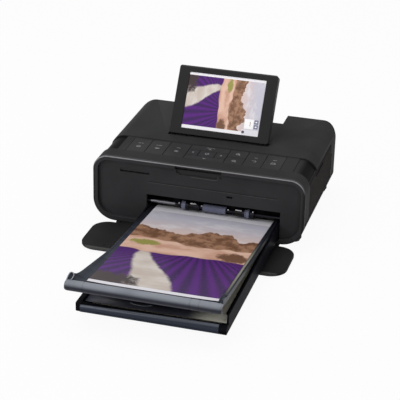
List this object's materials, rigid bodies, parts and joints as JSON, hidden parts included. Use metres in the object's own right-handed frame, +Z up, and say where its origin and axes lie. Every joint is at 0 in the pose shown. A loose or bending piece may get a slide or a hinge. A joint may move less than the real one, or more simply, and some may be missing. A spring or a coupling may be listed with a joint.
{
  "type": "compact photo printer",
  "caption": "Compact photo printer with a folding colour screen, key strip, fold-down front door, ink door, and a paper cassette whose output tray holds a print.",
  "frame": {"origin": "on the table, below the middle of the whole object's box", "axes": "+X to the viewer's right, the front faces -Y, +Z up"},
  "size_m": [0.1806, 0.3092, 0.1155],
  "materials": {
    "body_plastic": "fine matte grain",
    "front_plastic": "satin",
    "door_plastic": "fine matte grain",
    "side_plastic": "fine matte grain",
    "rear_plastic": "matte",
    "gloss_black": "polished",
    "key_plastic": "satin",
    "screen_plastic": "satin",
    "display": "lit display",
    "foot_rubber": "matte",
    "smoke_plastic": "smoky translucent, satin",
    "blank_paper": "card",
    "printed_paper": "glossy print",
    "steel": "pressed sheet",
    "pin_steel": "ground",
    "socket_metal": "bright",
    "motor_metal": "plated",
    "head_metal": "extruded",
    "gear_nylon": "natural",
    "pinion_brass": "machined",
    "roller_rubber": "ground",
    "black_moulding": "moulded",
    "ink_film": "thin film",
    "circuit_board": "lacquered"
  },
  "bodies": {
    "root": {"bottom_case": "body_plastic", "top_case": "body_plastic", "front_bezel": "front_plastic", "front_panel": "front_plastic", "rear_panel": "rear_plastic", "shoulder_inlays": "gloss_black", "rubber_feet": "foot_rubber", "case_screws": "pin_steel", "left_chassis_plate": "steel", "right_chassis_plate": "steel", "chassis_ties": "steel", "paper_guide": "black_moulding", "exit_guide": "smoke_plastic", "main_board": "circuit_board", "card_reader": "socket_metal", "dc_socket": "black_moulding", "usb_socket": "socket_metal", "drive_motor": "motor_metal", "switch_board": "circuit_board", "ink_cassette": "black_moulding", "ribbon_film": "ink_film", "head_springs": "pin_steel", "screen_hinge_pin": "pin_steel", "door_hinge_pin": "pin_steel"},
    "screen": {"screen_housing": "screen_plastic", "screen_bezel": "screen_plastic", "display_panel": "display"},
    "front_door": {"front_door": "door_plastic"},
    "ink_door": {"ink_door": "side_plastic"},
    "cassette": {"cassette_tray": "smoke_plastic"},
    "output_tray": {"output_tray": "smoke_plastic", "print_sheet": "printed_paper"},
    "paper_lift": {"lift_plate": "steel", "paper_stack": "blank_paper"},
    "print_head": {"head_frame": "steel", "thermal_head": "head_metal", "heat_sink": "head_metal"},
    "feed_roller": {"feed_roller": "pin_steel", "feed_gear": "gear_nylon"},
    "idler_gear": {"idler_gear": "gear_nylon"},
    "platen": {"platen_roller": "roller_rubber", "platen_gear": "gear_nylon"},
    "motor_pinion": {"motor_pinion": "pinion_brass"},
    "pinch_roller": {"pinch_roller": "roller_rubber"},
    "exit_roller": {"exit_roller": "pin_steel"},
    "pickup_roller": {"pickup_roller": "roller_rubber"},
    "takeup_spool": {"takeup_spool": "black_moulding"},
    "supply_spool": {"supply_spool": "black_moulding"},
    "power_key": {"power_key": "key_plastic"},
    "wireless_key": {"wireless_key": "key_plastic"},
    "menu_key": {"menu_key": "key_plastic"},
    "up_key": {"up_key": "key_plastic"},
    "down_key": {"down_key": "key_plastic"},
    "left_key": {"left_key": "key_plastic"},
    "right_key": {"right_key": "key_plastic"},
    "ok_key": {"ok_key": "key_plastic"},
    "zoom_in_key": {"zoom_in_key": "key_plastic"},
    "zoom_out_key": {"zoom_out_key": "key_plastic"},
    "back_key": {"back_key": "key_plastic"},
    "print_key": {"print_key": "key_plastic"}
  },
  "joints": [
    {"name": "front_door_hinge", "type": "hinge", "parent": "root", "child": "front_door", "pos_m": [0, 0.01913, 0.0031], "axis": [-1, 0, 0], "range_deg": [0, 3.5]},
    {"name": "screen_tilt", "type": "hinge", "parent": "root", "child": "screen", "pos_m": [0, 0.08278, 0.0575], "axis": [1, 0, 0], "range_deg": [-58, 0]},
    {"name": "ink_door_hinge", "type": "hinge", "parent": "root", "child": "ink_door", "pos_m": [0.0887, 0.12463, 0.038], "axis": [0, 0, 1], "range_deg": [0, 95]},
    {"name": "cassette_slide", "type": "slide", "parent": "root", "child": "cassette", "axis": [0, -1, 0], "range_m": [0, 0.04]},
    {"name": "output_tray_hinge", "type": "hinge", "parent": "cassette", "child": "output_tray", "pos_m": [0, 0.03313, 0.0181], "axis": [-1, 0, 0], "range_deg": [-5.2, 4]},
    {"name": "paper_lift_hinge", "type": "hinge", "parent": "cassette", "child": "paper_lift", "pos_m": [0, -0.13387, 0.0101], "axis": [1, 0, 0], "range_deg": [0, 0.5]},
    {"name": "head_press", "type": "hinge", "parent": "root", "child": "print_head", "pos_m": [0, 0.12263, 0.0509], "axis": [1, 0, 0], "range_deg": [0, 0.9], "stiffness_Nm_per_rad": 0.5, "springref_deg": -11.46},
    {"name": "idler_spin", "type": "hinge", "parent": "root", "child": "idler_gear", "pos_m": [0, 0.0739, 0.02133], "axis": [1, 0, 0], "continuous": true},
    {"name": "feed_spin", "type": "hinge", "parent": "root", "child": "feed_roller", "pos_m": [0, 0.05963, 0.0161], "axis": [1, 0, 0], "continuous": true},
    {"name": "platen_spin", "type": "hinge", "parent": "root", "child": "platen", "pos_m": [0, 0.08663, 0.0146], "axis": [1, 0, 0], "continuous": true},
    {"name": "pinion_spin", "type": "hinge", "parent": "root", "child": "motor_pinion", "pos_m": [0, 0.0739, 0.03333], "axis": [1, 0, 0], "continuous": true},
    {"name": "pinch_spin", "type": "hinge", "parent": "root", "child": "pinch_roller", "pos_m": [0, 0.05963, 0.0239], "axis": [1, 0, 0], "continuous": true},
    {"name": "exit_spin", "type": "hinge", "parent": "root", "child": "exit_roller", "pos_m": [0, 0.02663, 0.0246], "axis": [1, 0, 0], "continuous": true},
    {"name": "pickup_spin", "type": "hinge", "parent": "root", "child": "pickup_roller", "pos_m": [0, 0.04463, 0.0235], "axis": [1, 0, 0], "continuous": true},
    {"name": "takeup_spin", "type": "hinge", "parent": "root", "child": "takeup_spool", "pos_m": [0, 0.06763, 0.0395], "axis": [1, 0, 0], "continuous": true},
    {"name": "supply_spin", "type": "hinge", "parent": "root", "child": "supply_spool", "pos_m": [0, 0.10763, 0.0395], "axis": [1, 0, 0], "continuous": true},
    {"name": "power_key_press", "type": "slide", "parent": "root", "child": "power_key", "axis": [0, 0, -1], "range_m": [0, 0.00035], "stiffness_N_per_m": 400, "springref_m": -0.0005},
    {"name": "wireless_key_press", "type": "slide", "parent": "root", "child": "wireless_key", "axis": [0, 0, -1], "range_m": [0, 0.00035], "stiffness_N_per_m": 400, "springref_m": -0.0005},
    {"name": "menu_key_press", "type": "slide", "parent": "root", "child": "menu_key", "axis": [0, 0, -1], "range_m": [0, 0.00035], "stiffness_N_per_m": 400, "springref_m": -0.0005},
    {"name": "up_key_press", "type": "slide", "parent": "root", "child": "up_key", "axis": [0, 0, -1], "range_m": [0, 0.00035], "stiffness_N_per_m": 400, "springref_m": -0.0005},
    {"name": "down_key_press", "type": "slide", "parent": "root", "child": "down_key", "axis": [0, 0, -1], "range_m": [0, 0.00035], "stiffness_N_per_m": 400, "springref_m": -0.0005},
    {"name": "left_key_press", "type": "slide", "parent": "root", "child": "left_key", "axis": [0, 0, -1], "range_m": [0, 0.00035], "stiffness_N_per_m": 400, "springref_m": -0.0005},
    {"name": "right_key_press", "type": "slide", "parent": "root", "child": "right_key", "axis": [0, 0, -1], "range_m": [0, 0.00035], "stiffness_N_per_m": 400, "springref_m": -0.0005},
    {"name": "ok_key_press", "type": "slide", "parent": "root", "child": "ok_key", "axis": [0, 0, -1], "range_m": [0, 0.00035], "stiffness_N_per_m": 400, "springref_m": -0.0005},
    {"name": "zoom_in_key_press", "type": "slide", "parent": "root", "child": "zoom_in_key", "axis": [0, 0, -1], "range_m": [0, 0.00035], "stiffness_N_per_m": 400, "springref_m": -0.0005},
    {"name": "zoom_out_key_press", "type": "slide", "parent": "root", "child": "zoom_out_key", "axis": [0, 0, -1], "range_m": [0, 0.00035], "stiffness_N_per_m": 400, "springref_m": -0.0005},
    {"name": "back_key_press", "type": "slide", "parent": "root", "child": "back_key", "axis": [0, 0, -1], "range_m": [0, 0.00035], "stiffness_N_per_m": 400, "springref_m": -0.0005},
    {"name": "print_key_press", "type": "slide", "parent": "root", "child": "print_key", "axis": [0, 0, -1], "range_m": [0, 0.00035], "stiffness_N_per_m": 400, "springref_m": -0.0005}
  ],
  "couplings": [
    {"joint": "idler_spin", "follows": "feed_spin", "ratio": -0.9},
    {"joint": "platen_spin", "follows": "feed_spin", "ratio": 1.125},
    {"joint": "pinion_spin", "follows": "feed_spin", "ratio": 1.8},
    {"joint": "pinch_spin", "follows": "feed_spin", "ratio": -1.1765},
    {"joint": "exit_spin", "follows": "feed_spin", "ratio": -1.1111},
    {"joint": "supply_spin", "follows": "takeup_spin", "ratio": 0.79412}
  ]
}
